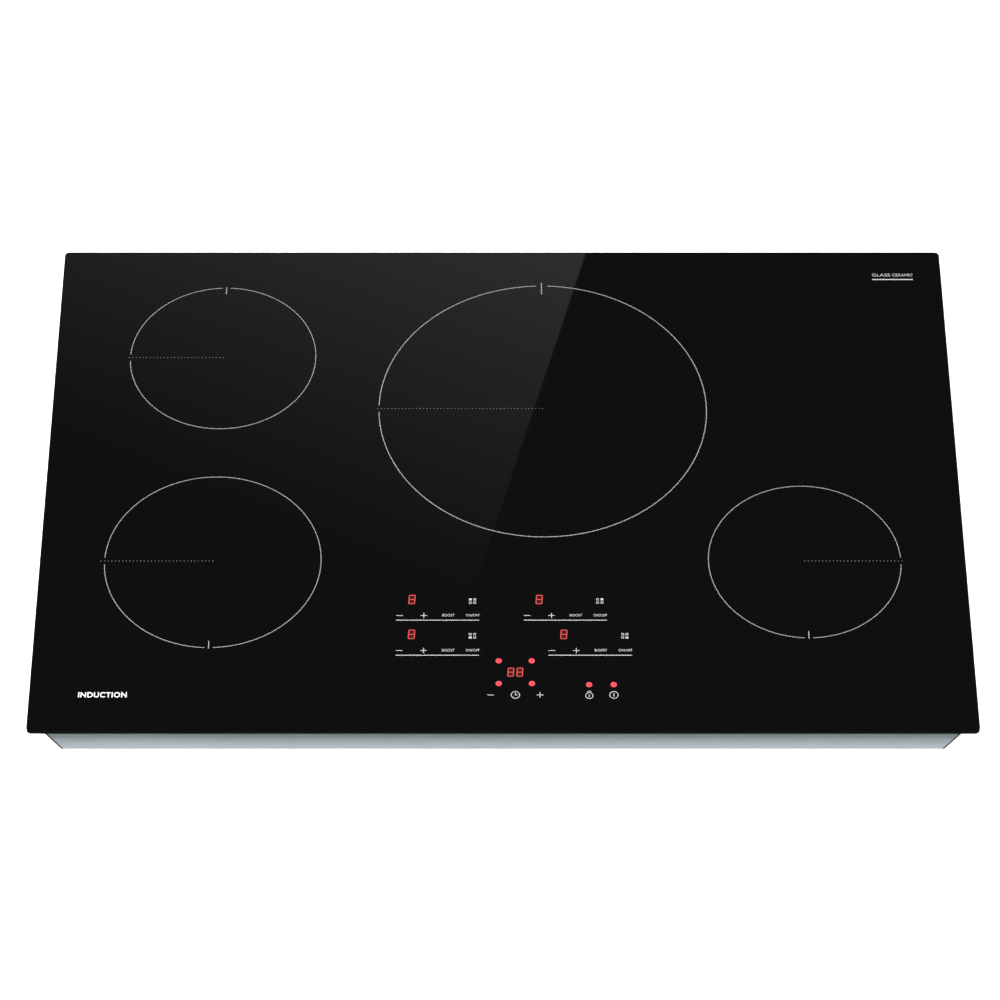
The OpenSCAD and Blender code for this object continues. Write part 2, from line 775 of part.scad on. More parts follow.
// Rotor cup, back plate, curved-forward blades and end ring
module blower_impeller(blower) {
    top = 19.5;
    blade_l = 9;
    color([0.85, 0.86, 0.88]) translate([blower[1][0], blower[1][1], impeller_z]) difference() {
        union() {
            translate([0, 0, 1.5]) cylinder(h = top, r = cup_r);
            translate([0, 0, top - 0.5]) cylinder(h = 1.5, r = impeller_r);
            ring(impeller_r, impeller_r - 3, 1.5);
            for (i = [0:blade_count - 1]) rotate(i*360/blade_count)
                translate([impeller_r - blade_l - 0.3, 0, 0])
                    rotate(blower[2]*25) translate([0, -0.5, 0.5]) cube([blade_l, 1, top]);
        }
        translate([0, 0, 3.5]) difference() {
            cylinder(h = top, r = cup_r - cup_wall);
            translate([0, 0, -overlap]) cylinder(h = 3, r = 4);
        }
        cylinder(h = 10, r = shaft_r);
    }
}

module blower_shaft(blower) {
    color([0.8, 0.8, 0.82]) translate([blower[1][0], blower[1][1], impeller_z + 1.5])
        cylinder(h = 18.5, r = shaft_r);
}

// Sleeve bearings, pressed into the housings' posts
module blower_bushes() {
    color([0.7, 0.5, 0.3]) for (blower = BLOWERS)
        translate([blower[1][0], blower[1][1], scroll_z + scroll_h - 15]) ring(bush_r, shaft_r + 0.03, 12);
}

// Stators: four wound poles round each post, inside the rotor cup
module blower_stators() {
    color([0.7, 0.35, 0.2]) for (blower = BLOWERS)
        translate([blower[1][0], blower[1][1], scroll_z + scroll_h - 15]) {
            ring(6.5, 4, 9);
            for (a = [0:90:270]) rotate(a) {
                translate([5.5, -2.5, 1.5]) cube([6.5, 5, 6]);
                translate([11, -5, 1]) cube([2, 10, 7]);
            }
        }
}

// ---- Touch control ----

KEYS = concat(
    [for (row = ZONE_KEYS, i = [0:3]) row + [i*key_pitch, 0]],
    [for (i = [-1:1]) [timer_x + i*key_pitch, timer_y + 0.5]],
    [for (i = [0, 1]) [lock_x + i*key_pitch, timer_y + 0.5]]
);

module control_board() {
    color([0.08, 0.3, 0.16]) translate([control_corner[0], control_corner[1], control_z]) difference() {
        cube([control_size[0], control_size[1], board_t]);
        for (hole = corner_holes([0, 0], control_size, 5)) translate([hole[0], hole[1], -1])
            cylinder(h = 5, r = 1.6);
    }
}

// Plastic frame on four legs that holds the control board up to the glass
module control_carrier() {
    w = control_size[0];
    d = control_size[1];
    color([0.9, 0.9, 0.88]) translate([control_corner[0], control_corner[1], 0]) {
        translate([w/2, d/2, control_z - 5]) difference() {
            translate([0, 0, 2.5]) cube([w, d, 5], center = true);
            translate([0, 0, 3.5]) cube([w - 4, d - 4, 5], center = true);
            for (x = [-1, 1], y = [-1, 1]) translate([x*w/4, y*d/4, 0])
                cube([w/2 - 14, d/2 - 14, 5], center = true);
        }
        for (hole = corner_holes([0, 0], control_size, 8)) translate([hole[0], hole[1], inside_z])
            cylinder(h = control_z - 5 - inside_z + overlap, r = 5);
    }
}

// Conductive foam between the board and the glass, one pad to a key
module touch_pads() {
    color([0.1, 0.1, 0.1]) for (key = KEYS) translate([key[0], key[1], control_z + board_t])
        cylinder(h = glass_z - control_z - board_t, r = 4.5);
}

// Seven-segment displays and round indicators, under the glass
module led_displays() {
    top = control_z + board_t;
    h = glass_z - top - 0.3;
    color([0.9, 0.2, 0.2]) translate([0, 0, top]) {
        for (row = ZONE_KEYS) translate([row[0] + key_pitch/2 - 5, row[1] + 10, 0]) cube([10, 14, h]);
        translate([timer_x - 8.5, timer_y + 16, 0]) cube([17, 14, h]);
        for (x = [-1, 1], y = [11.5, 34.5]) translate([timer_x + 13.5*x, timer_y + y, 0])
            cylinder(h = h, r = 2.2);
        for (x = [0, 1]) translate([lock_x + x*key_pitch, timer_y + 10.5, 0]) cylinder(h = h, r = 2.2);
    }
}

// Flat cable from the control board down to the right power board
module control_ribbon() {
    t = 1;
    right = POWER[1][1][0] + 20;
    left = control_corner[0] + control_size[0] - 24;
    color([0.75, 0.75, 0.75]) translate([0, -132, 0]) rotate([90, 0, 0]) linear_extrude(10) polygon([
        [left, 28], [left, control_z], [left - t, control_z], [left - t, 28 - t], [right - t, 28 - t],
        [right - t, board_top], [right, board_top], [right, 28]
    ]);
}

// ---- The assembly, one node at a time ----

glass_top();
zone_markings();
control_markings();
rim_seal();
glass_bond();
rail(0, rail_y, 2*rail_x, front_screw_x);  // rail_front
rail(180, rail_y, 2*rail_x, front_screw_x);  // rail_rear
rail(-90, rail_x, 2*(rail_y - rail_flange) - 1, side_screw_y);  // rail_left
rail(90, rail_x, 2*(rail_y - rail_flange) - 1, side_screw_y);  // rail_right
base_pan();
pan_screws();
terminal_box();
terminal_block();
terminal_cover();
cover_screws();
cable_grommet();
rating_plate();
earth_screw();
for (zone = ZONES) {
    coil_former(zone);
    coil_winding(zone);
    ferrites(zone);
}
mica_discs();
coil_sensors();
coil_springs();
coil_leads();
lead_terminals();
plate_posts();
plate_screws();
power_boards();
heat_sinks();
for (blower = BLOWERS) {
    coil_plate(blower[0]);
    blower_housing(blower);
    blower_impeller(blower);
    blower_shaft(blower);
}
blower_bushes();
blower_stators();
power_transistors();
film_capacitors();
filter_board();
chokes();
control_board();
control_carrier();
touch_pads();
led_displays();
control_ribbon();
board_posts();
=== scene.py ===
"""Looks for the induction cooktop: materials, fine print, lit displays, studio and camera.

Blender units are metres. The print, the camera and the mirror card are planned in millimetres
and turned into metres by MM. The floor, the mat and the lights are given in metres.
"""

import json
import math

import bmesh
import bpy
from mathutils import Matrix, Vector


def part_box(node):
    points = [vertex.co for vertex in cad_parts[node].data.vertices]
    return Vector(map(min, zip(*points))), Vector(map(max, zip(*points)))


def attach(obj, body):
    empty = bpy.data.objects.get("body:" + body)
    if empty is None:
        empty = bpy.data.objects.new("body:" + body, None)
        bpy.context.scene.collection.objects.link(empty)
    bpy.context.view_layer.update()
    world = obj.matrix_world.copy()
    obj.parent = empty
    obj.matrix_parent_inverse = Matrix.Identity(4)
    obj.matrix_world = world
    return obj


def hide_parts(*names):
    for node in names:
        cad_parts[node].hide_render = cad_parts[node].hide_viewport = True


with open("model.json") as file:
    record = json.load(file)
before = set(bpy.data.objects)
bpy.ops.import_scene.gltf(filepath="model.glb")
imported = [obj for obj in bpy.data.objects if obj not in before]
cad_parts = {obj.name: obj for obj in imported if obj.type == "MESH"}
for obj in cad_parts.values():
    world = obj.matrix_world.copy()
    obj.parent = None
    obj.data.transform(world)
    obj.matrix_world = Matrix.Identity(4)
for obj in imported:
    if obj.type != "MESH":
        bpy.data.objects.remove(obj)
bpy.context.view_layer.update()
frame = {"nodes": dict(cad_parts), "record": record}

MM = 0.001
BODY = "hob"
# Height of the glass surface, and how far print, display glow and lamps stand above it
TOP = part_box("glass_top")[1][2] / MM
PRINT_T = 0.05
GLOW_T = 0.02
LAMP_T = 0.06
# Corners of a square about its middle, counter-clockwise
SQUARE = [(-1, -1), (1, -1), (1, 1), (-1, 1)]


# ---- Node materials -------------------------------------------------------------------------

def new_material(name):
    mat = bpy.data.materials.new(name)
    mat.use_nodes = True
    tree = mat.node_tree
    shader = tree.nodes["Principled BSDF"]
    return mat, tree, shader


def add(tree, kind, **values):
    node = tree.nodes.new(kind)
    for key, value in values.items():
        setattr(node, key, value)
    return node


def object_coords(tree, scale=(1, 1, 1)):
    coords = add(tree, "ShaderNodeTexCoord")
    mapping = add(tree, "ShaderNodeMapping")
    mapping.inputs["Scale"].default_value = scale
    tree.links.new(coords.outputs["Object"], mapping.inputs["Vector"])
    return mapping.outputs["Vector"]


def noise(tree, vector, scale, detail, rough=0.5):
    node = add(tree, "ShaderNodeTexNoise")
    node.inputs["Scale"].default_value = scale
    node.inputs["Detail"].default_value = detail
    node.inputs["Roughness"].default_value = rough
    tree.links.new(vector, node.inputs["Vector"])
    return node.outputs["Fac"]


def remap(tree, value, low, high, start=0.3, end=0.7):
    node = add(tree, "ShaderNodeMapRange")
    node.inputs["From Min"].default_value = start
    node.inputs["From Max"].default_value = end
    node.inputs["To Min"].default_value = low
    node.inputs["To Max"].default_value = high
    tree.links.new(value, node.inputs["Value"])
    return node.outputs["Result"]


def two_tone(tree, value, a, b, start=0.35, end=0.65):
    ramp = add(tree, "ShaderNodeValToRGB")
    ramp.color_ramp.elements[0].position = start
    ramp.color_ramp.elements[1].position = end
    ramp.color_ramp.elements[0].color = (*a, 1)
    ramp.color_ramp.elements[1].color = (*b, 1)
    tree.links.new(value, ramp.inputs["Fac"])
    return ramp.outputs["Color"]


def bump(tree, shader, height, strength, distance):
    node = add(tree, "ShaderNodeBump")
    node.inputs["Strength"].default_value = strength
    node.inputs["Distance"].default_value = distance
    tree.links.new(height, node.inputs["Height"])
    tree.links.new(node.outputs["Normal"], shader.inputs["Normal"])


def tint(color, factor):
    return tuple(min(1.0, c * factor) for c in color)


def grained(name, color, rough, metal=0.0, vary=0.12, grain=400, lump=0.0, stretch=(1, 1, 1)):
    """A colour with slight variation, uneven roughness and a fine surface grain."""
    rough_spread = 0.06
    mat, tree, shader = new_material(name)
    vector = object_coords(tree, stretch)
    coarse = noise(tree, vector, grain * 0.12, 4)
    fine = noise(tree, vector, grain, 2)
    shader.inputs["Metallic"].default_value = metal
    base = two_tone(tree, coarse, tint(color, 1 - vary), tint(color, 1 + vary))
    tree.links.new(base, shader.inputs["Base Color"])
    uneven = remap(tree, fine, rough - rough_spread, rough + rough_spread)
    tree.links.new(uneven, shader.inputs["Roughness"])
    if lump:
        bump(tree, shader, fine, lump, 0.0004)
    return mat


def glass_material():
    """Opaque black glass-ceramic: a deep gloss with the faintest haze of wiping."""
    mat, tree, shader = new_material("black_glass_ceramic")
    grain = noise(tree, object_coords(tree), 900, 1)
    black = two_tone(tree, grain, (0.0007, 0.0007, 0.0007), (0.001, 0.001, 0.001))
    tree.links.new(black, shader.inputs["Base Color"])
    haze = noise(tree, object_coords(tree, (1, 3, 1)), 9, 4, 0.6)
    tree.links.new(remap(tree, haze, 0.006, 0.018), shader.inputs["Roughness"])
    shader.inputs["IOR"].default_value = 1.5
    shader.inputs["Specular IOR Level"].default_value = 0.25
    return mat


def math_node(tree, operation, a, b=None):
    node = add(tree, "ShaderNodeMath", operation=operation)
    for socket, value in zip(node.inputs, (a, b)):
        if isinstance(value, (int, float)):
            socket.default_value = value
        elif value is not None:
            tree.links.new(value, socket)
    return node.outputs["Value"]


# Painted shade: a dark line along the pan's corners stands in for the side wall falling into shade there.
def painted_corner_shade(tree, vector):
    """A mask of painted shade: 1 along the folded corners of the tapered pan, 0 elsewhere.

    A point is on a corner where it is close to the side wall and to the front or back wall. The
    wall leans from the foot to the height where it turns upright.
    """
    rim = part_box("base_pan")[1]
    steps_in = (12 * MM, 6 * MM)
    foot_z, upright_z = 1.5 * MM, 33 * MM
    shade_core, fade = 1.3 * MM, 2.1 * MM
    axes = add(tree, "ShaderNodeSeparateXYZ")
    tree.links.new(vector, axes.inputs["Vector"])
    gaps = []
    for k, axis in enumerate("XY"):
        wall = remap(tree, axes.outputs["Z"], rim[k] - steps_in[k], rim[k], foot_z, upright_z)
        away = math_node(tree, "ABSOLUTE", axes.outputs[axis])
        gaps.append(math_node(tree, "SUBTRACT", wall, away))
    return remap(tree, math_node(tree, "MAXIMUM", *gaps), 1, 0, shade_core, fade)


def galvanised_material(name, color, rough, corner_shade=False):
    """Zinc-coated sheet: pale blue-grey with soft crystal flakes and faint rolling lines, and where asked
    a near-black line of painted shade along the folded corners.
    """
    mat, tree, shader = new_material(name)
    vector = object_coords(tree)
    flakes = add(tree, "ShaderNodeTexVoronoi")
    flakes.inputs["Scale"].default_value = 120
    tree.links.new(vector, flakes.inputs["Vector"])
    split = add(tree, "ShaderNodeSeparateColor")
    tree.links.new(flakes.outputs["Color"], split.inputs["Color"])
    rolled = noise(tree, object_coords(tree, (1, 60, 60)), 12, 3)
    mix = add(tree, "ShaderNodeMix", data_type="RGBA")
    mix.inputs["Factor"].default_value = 0.3
    flaked = two_tone(tree, split.outputs["Red"], tint(color, 0.98), tint(color, 1.02), 0, 1)
    tree.links.new(flaked, mix.inputs["A"])
    lined = two_tone(tree, rolled, tint(color, 0.97), tint(color, 1.03))
    tree.links.new(lined, mix.inputs["B"])
    result = mix.outputs["Result"]
    # Painted shade: a near-black line is mixed into the colour along the folded corners.
    if corner_shade:
        dark = add(tree, "ShaderNodeMix", data_type="RGBA")
        tree.links.new(painted_corner_shade(tree, vector), dark.inputs["Factor"])
        tree.links.new(result, dark.inputs["A"])
        dark.inputs["B"].default_value = (0.02, 0.03, 0.038, 1)
        result = dark.outputs["Result"]
    tree.links.new(result, shader.inputs["Base Color"])
    uneven = remap(tree, split.outputs["Green"], rough - 0.03, rough + 0.03, 0, 1)
    tree.links.new(uneven, shader.inputs["Roughness"])
    shader.inputs["Metallic"].default_value = 0.1
    bump(tree, shader, rolled, 0.04, 0.0003)
    return mat


def board_material():
    """Green circuit board with faint copper tracks under the mask."""
    mat, tree, shader = new_material("circuit_board")
    bricks = add(tree, "ShaderNodeTexBrick")
    bricks.inputs["Scale"].default_value = 60
    bricks.inputs["Mortar Size"].default_value = 0.08
    bricks.inputs["Color1"].default_value = (0.012, 0.11, 0.04, 1)
    bricks.inputs["Color2"].default_value = (0.015, 0.14, 0.05, 1)
    bricks.inputs["Mortar"].default_value = (0.05, 0.25, 0.09, 1)
    tree.links.new(object_coords(tree), bricks.inputs["Vector"])
    tree.links.new(bricks.outputs["Color"], shader.inputs["Base Color"])
    shader.inputs["Roughness"].default_value = 0.35
    return mat


def strand_material():
    """Varnished copper strands: fine twisted lines over a warm brown metal."""
    mat, tree, shader = new_material("copper_strand")
    vector = object_coords(tree)
    wave = add(tree, "ShaderNodeTexWave")
    wave.inputs["Scale"].default_value = 300
    wave.inputs["Distortion"].default_value = 4
    tree.links.new(vector, wave.inputs["Vector"])
    strands = two_tone(tree, wave.outputs["Fac"], (0.3, 0.11, 0.04), (0.72, 0.34, 0.17))
    tree.links.new(strands, shader.inputs["Base Color"])
    shader.inputs["Metallic"].default_value = 0.8
    shader.inputs["Roughness"].default_value = 0.38
    bump(tree, shader, wave.outputs["Fac"], 0.4, 0.0004)
    return mat


def glowing(name, color, strength, base=(0.3, 0.01, 0.01)):
    """A lit display seen through the glass: an even glow with a slightly softer grain."""
    mat, tree, shader = new_material(name)
    grain = noise(tree, object_coords(tree), 1500, 1)
    tree.links.new(two_tone(tree, grain, tint(color, 0.94), color), shader.inputs["Emission Color"])
    shader.inputs["Emission Strength"].default_value = strength
    shader.inputs["Base Color"].default_value = (*base, 1)
    shader.inputs["Roughness"].default_value = 0.4
    return mat


def print_ink(name, grey):
    """Fired ceramic print, from dim to bright grey."""
    return grained(name, (grey, grey, grey), 0.4, vary=0.03, grain=1500)


SHEET_ZINC = (0.68, 0.76, 0.8)
MATERIALS = {
    "glass": glass_material(),
    "print": print_ink("fired_print", 0.19),
    "foam": grained("black_foam", (0.018, 0.018, 0.019), 0.9, vary=0.3, grain=1800, lump=0.6),
    "silicone": grained("silicone", (0.55, 0.55, 0.52), 0.45, vary=0.05),
    "galvanised": galvanised_material("galvanised_rail", SHEET_ZINC, 0.45),
    # The pan's material paints a line of shade along its folded corners.
    "pan_steel": galvanised_material("galvanised_pan", SHEET_ZINC, 0.5, corner_shade=True),
    "zinc": grained("zinc_plate", (0.62, 0.63, 0.65), 0.28, metal=1.0, vary=0.06, grain=900, lump=0.1),
    "black_plastic": grained("black_plastic", (0.02, 0.02, 0.021), 0.45, vary=0.15, grain=1600, lump=0.25),
    "white_plastic": grained("white_plastic", (0.68, 0.68, 0.64), 0.42, vary=0.04, grain=1600, lump=0.15),
    "grey_plastic": grained("grey_plastic", (0.09, 0.09, 0.1), 0.5, vary=0.1, grain=1600, lump=0.25),
    "light_plastic": grained("light_plastic", (0.5, 0.53, 0.56), 0.4, vary=0.05, grain=1600, lump=0.1),
    "rubber": grained("rubber", (0.012, 0.012, 0.012), 0.7, vary=0.2, grain=1400, lump=0.3),
    "foil": grained("foil_label", (0.6, 0.6, 0.61), 0.3, metal=0.9, vary=0.04, stretch=(1, 30, 1)),
    "brass": grained("brass", (0.62, 0.44, 0.18), 0.3, metal=1.0, vary=0.08, grain=900),
    "mica": grained("mica", (0.44, 0.38, 0.27), 0.4, vary=0.1, grain=500),
    "ceramic": grained("ceramic", (0.75, 0.74, 0.7), 0.3, vary=0.03),
    "spring_steel": grained("spring_steel", (0.6, 0.61, 0.63), 0.22, metal=1.0, vary=0.04, grain=1200),
    "lead_sleeve": grained("lead_sleeve", (0.5, 0.035, 0.02), 0.5, vary=0.1, grain=900, lump=0.2),
    "circuit_board": board_material(),
    "aluminium": grained(
        "mill_aluminium", (0.7, 0.71, 0.72), 0.32, metal=1.0, vary=0.04, stretch=(1, 40, 40)),
    "copper": strand_material(),
    "ferrite": grained("ferrite", (0.05, 0.05, 0.055), 0.6, vary=0.2, grain=1200, lump=0.3),
    "capacitor_case": grained("capacitor_case", (0.65, 0.5, 0.08), 0.3, vary=0.05),
    "display": grained("display_cover", (0.25, 0.02, 0.015), 0.2, vary=0.05),
    "ribbon": grained("ribbon", (0.45, 0.45, 0.46), 0.4, vary=0.1, stretch=(1, 900, 1)),
}

BRIGHT_PRINT = print_ink("bright_print", 0.51)
PANEL_PRINT = print_ink("panel_print", 0.31)

slot_of = {sub["node"]: sub["material_slot"] for sub in frame["record"]["subparts"]}
for node, obj in frame["nodes"].items():
    material = MATERIALS[slot_of[node]]
    if not obj.material_slots:
        obj.data.materials.append(material)
    for slot in obj.material_slots:
        slot.material = material


# ---- Thin print and lit shapes on the glass --------------------------------------------------

def turns(start, end, steps):
    """Evenly spaced angles in radians, both ends included."""
    return [math.radians(start + (end - start) * i / steps) for i in range(steps + 1)]


class Sheet:
    """Collects thin flat-topped solids on the glass and turns them into one piece."""

    def __init__(self, name, thick=PRINT_T):
        self.name = name
        self.mesh = bmesh.new()
        self.low = TOP * MM
        self.high = (TOP + thick) * MM

    def loop(self, points, z):
        return [self.mesh.verts.new((x * MM, y * MM, z)) for x, y in points]

    def shape(self, points):
        """A solid from one outline, counter-clockwise in plan."""
        area = sum(a[0] * b[1] - b[0] * a[1] for a, b in zip(points, points[1:] + points[:1]))
        if area < 0:
            points = points[::-1]
        low, high = self.loop(points, self.low), self.loop(points, self.high)
        self.mesh.faces.new(high)
        self.mesh.faces.new(low[::-1])
        for i in range(len(points)):
            j = (i + 1) % len(points)
            self.mesh.faces.new((low[i], low[j], high[j], high[i]))

    def band(self, outer, inner, closed):
        """A solid between two matching point rows."""
        loops = [self.loop(points, z) for points in (outer, inner) for z in (self.low, self.high)]
        out_low, out_high, in_low, in_high = loops
        count = len(outer)
        for i in range(count if closed else count - 1):
            j = (i + 1) % count
            self.mesh.faces.new((in_high[i], out_high[i], out_high[j], in_high[j]))
            self.mesh.faces.new((in_low[j], out_low[j], out_low[i], in_low[i]))
            self.mesh.faces.new((out_low[i], out_low[j], out_high[j], out_high[i]))
            self.mesh.faces.new((in_low[j], in_low[i], in_high[i], in_high[j]))
        if not closed:
            for i, flip in ((0, False), (count - 1, True)):
                face = (out_low[i], out_high[i], in_high[i], in_low[i])
                self.mesh.faces.new(face[::-1] if flip else face)

    def bar(self, x, y, w, h, lean=0.0):
        corners = [(i * w / 2, j * h / 2) for i, j in SQUARE]
        self.shape([(x + a + lean * b, y + b) for a, b in corners])

    def dot(self, x, y, r, sides=16):
        self.shape([(x + r * math.cos(t), y + r * math.sin(t)) for t in turns(0, 360, sides)[:-1]])

    def arc(self, x, y, r, line, start=0.0, end=360.0, steps=64):
        closed = end - start >= 360
        angles = turns(start, end, steps)
        if closed:
            angles = angles[:-1]

        def circle(q):
            return [(x + q * math.cos(t), y + q * math.sin(t)) for t in angles]

        self.band(circle(r + line / 2), circle(r - line / 2), closed)

    def stroke(self, points, line):
        """A line of even width through open points, with mitred turns."""
        left, right = [], []
        legs = [(Vector(b) - Vector(a)).normalized() for a, b in zip(points, points[1:])]
        for i, (x, y) in enumerate(points):
            before = legs[max(0, i - 1)]
            after = legs[min(i, len(legs) - 1)]
            middle = (before + after).normalized()
            across = Vector((-middle.y, middle.x))
            reach = line / 2 / max(0.3, across.dot(Vector((-before.y, before.x))))
            left.append((x + across.x * reach, y + across.y * reach))
            right.append((x - across.x * reach, y - across.y * reach))
        self.band(right, left, False)

    def finish(self, material, replaces=()):
        bmesh.ops.recalc_face_normals(self.mesh, faces=self.mesh.faces)
        data = bpy.data.meshes.new(self.name)
        self.mesh.to_mesh(data)
        self.mesh.free()
        data.materials.append(material)
        piece = bpy.data.objects.new(self.name, data)
        bpy.context.scene.collection.objects.link(piece)
        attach(piece, BODY)
        if replaces:
            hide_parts(*replaces)


# Cooking zones: centre, radius, line width, side of the dots (left or right), side of the tick
# (back or front), half the gap at the tick, and how far the tick reaches inside and outside
ZONES = [
    ((-241, 137), 80, 0.62, -1, 1, 3.5, 7, 1),
    ((-241, -86), 90, 0.62, -1, -1, 3.5, 7, 1),
    ((34.5, 79.5), 140, 0.72, -1, 1, 5, 9.5, 3.5),
    ((251, -86), 80, 0.62, 1, -1, 3.5, 7, 1),
]
TICK_LINE = 0.8
DOT_PITCH = 3.0
DOT_R = 0.45
DOT_GAP = 3.6
ARC_STEPS = 160

rings = Sheet("zone_rings")
dots = Sheet("zone_dots")
for (cx, cy), r, line, dot_side, tick_side, gap, inside, outside in ZONES:
    tick_angle = 90 * tick_side % 360
    dot_angle = 0 if dot_side > 0 else 180
    cuts = sorted([(tick_angle, math.degrees(gap / r)), (dot_angle, math.degrees(DOT_GAP / r))])
    for k, (angle, half) in enumerate(cuts):
        next_angle, next_half = cuts[(k + 1) % len(cuts)]
        end = next_angle - next_half + (360 if next_angle <= angle else 0)
        rings.arc(cx, cy, r, line, angle + half, end, ARC_STEPS)
    tick = [(cx, cy + tick_side * (r + outside)), (cx, cy + tick_side * (r - inside))]
    rings.stroke(tick, TICK_LINE)
    for i in range(int((r + 3) / DOT_PITCH) + 1):
        dots.dot(cx + dot_side * i * DOT_PITCH, cy, DOT_R, 8)
rings.finish(MATERIALS["print"], ["zone_markings"])
dots.finish(print_ink("dim_print", 0.097))

# Touch panel: first key of each row, and which square of the zone sign is solid
ROWS = [((-85, -143), (0, 1)), ((20, -143), (1, 1)), ((-85, -179), (0, 0)), ((40, -179), (1, 0))]
PITCH = 20
# Keys under the rows: timer, lock and power
TIMER = (10, -224)
LOCK = (70, -224)
POWER = (90, -224)
# Line width and ring size of the signs, and the half width of a minus or plus
FINE = 0.6
SIGN_R = 3.4
ARM = 2.7

signs = Sheet("panel_signs")


def minus(x, y):
    signs.bar(x, y, 2 * ARM, FINE)


def plus(x, y):
    half = FINE / 2
    signs.shape([(x + a, y + b) for a, b in [
        (-ARM, -half), (-half, -half), (-half, -ARM), (half, -ARM), (half, -half), (ARM, -half),
        (ARM, half), (half, half), (half, ARM), (-half, ARM), (-half, half), (-ARM, half)]])


def zone_sign(x, y, filled):
    """Four small squares, one of them solid, that show which zone a row belongs to."""
    pitch_x, pitch_y = 3.6, 3.4
    w, h = 1.15, 1.05
    hole_w, hole_h = 0.6 * w, 0.54 * h
    for i in (0, 1):
        for j in (0, 1):
            cx, cy = x + (i - 0.5) * pitch_x, y + (j - 0.5) * pitch_y
            outer = [(cx + a * w, cy + b * h) for a, b in SQUARE]
            if (i, j) == filled:
                signs.shape(outer)
            else:
                inner = [(cx + a * hole_w, cy + b * hole_h) for a, b in SQUARE]
                signs.band(outer, inner, True)


def clock_sign(x, y):
    signs.arc(x, y, SIGN_R, FINE)
    signs.stroke([(x, y + 2.3), (x, y), (x + 1.7, y)], FINE)


def lock_sign(x, y):
    """A round padlock with a bow on top and a keyhole in it."""
    signs.arc(x, y - 0.7, 2.9, FINE)
    bow = [(x + 1.2 * math.cos(t), y + 2.9 + 1.1 * math.sin(t)) for t in turns(-20, 200, 16)]
    signs.stroke(bow, 0.55)
    signs.dot(x, y - 0.2, 0.6)
    signs.bar(x, y - 1.2, 0.55, 1.6)


def power_sign(x, y):
    signs.arc(x, y, SIGN_R, FINE)
    signs.bar(x, y, 0.75, SIGN_R)


# Line under each row, and the height of its zone sign and digit above it
ROW_LINE = (68.4, 0.7)
ROW_LINE_MIDDLE = 1.5 * PITCH + 1.4
ROW_LINE_DROP = 4.8
ZONE_SIGN_RISE = 15
DIGIT_RISE = 16.6

for (x, y), filled in ROWS:
    minus(x, y)
    plus(x + PITCH, y)
    signs.bar(x + ROW_LINE_MIDDLE, y - ROW_LINE_DROP, *ROW_LINE)
    zone_sign(x + 3 * PITCH, y + ZONE_SIGN_RISE, filled)

minus(TIMER[0] - PITCH, TIMER[1])
clock_sign(*TIMER)
plus(TIMER[0] + PITCH, TIMER[1])
lock_sign(*LOCK)
power_sign(*POWER)
signs.finish(PANEL_PRINT, ["control_markings"])


def word(name, text, x, y, height, width, material, bold=0.0):
    """A short generic word, centred at a point and stretched to its printed size."""
    curve = bpy.data.curves.new(name, "FONT")
    curve.body = text
    curve.offset = bold
    curve.space_character = 1 + 3 * bold
    curve.extrude = PRINT_T * MM / 2
    curve.resolution_u = 4
    holder = bpy.data.objects.new(name + "_text", curve)
    data = bpy.data.meshes.new_from_object(holder)
    bpy.data.objects.remove(holder)
    xs = [v.co.x for v in data.vertices]
    ys = [v.co.y for v in data.vertices]
    left, bottom = min(xs), min(ys)
    scale_x, scale_y = width / (max(xs) - left), height / (max(ys) - bottom)
    for v in data.vertices:
        v.co.x = (x - width / 2 + (v.co.x - left) * scale_x) * MM
        v.co.y = (y - height / 2 + (v.co.y - bottom) * scale_y) * MM
        v.co.z += (TOP + PRINT_T / 2) * MM
    data.materials.clear()
    data.materials.append(material)
    piece = bpy.data.objects.new(name, data)
    bpy.context.scene.collection.objects.link(piece)
    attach(piece, BODY)


KEY_WORD_H = 2.5
KEY_WORD_SHIFT = (0.2, 0.3)
for k, ((x, y), _) in enumerate(ROWS):
    first_x, word_y = x + KEY_WORD_SHIFT[0], y + KEY_WORD_SHIFT[1]
    word(f"boost_word_{k + 1}", "BOOST", first_x + 2 * PITCH, word_y, KEY_WORD_H, 10.2, PANEL_PRINT)
    word(f"on_off_word_{k + 1}", "ON/OFF", first_x + 3 * PITCH, word_y, KEY_WORD_H, 11.2, PANEL_PRINT)
word("product_word", "INDUCTION", -325.1, -223.9, 5.4, 39.5, BRIGHT_PRINT, 0.025)

# Two small plain words over a short bar, near the rear right corner
CORNER_WORD_Y = 232.4
CORNER_WORD_H = 3.4
word("corner_word_1", "GLASS", 332.4, CORNER_WORD_Y, CORNER_WORD_H, 16, PANEL_PRINT)
word("corner_word_2", "CERAMIC", 351.2, CORNER_WORD_Y, CORNER_WORD_H, 18, PANEL_PRINT)
corner_bar = Sheet("corner_bar")
corner_bar.bar(342.3, CORNER_WORD_Y - 5.2, 35.8, 1.2)
corner_bar.finish(PANEL_PRINT)

# Lit digits and indicators
lit = glowing("lit_red", (1.0, 0.18, 0.17), 0.6)
lit_back = glowing("lit_red_back", (1.0, 0.03, 0.03), 0.035, (0.002, 0.0005, 0.0005))
lit_dot = glowing("lit_dot_core", (1.0, 0.06, 0.09), 0.62)
lit_rim = glowing("lit_dot_rim", (1.0, 0.15, 0.2), 0.68)

digits = Sheet("lit_digits")
backs = Sheet("lit_digit_backs", GLOW_T)


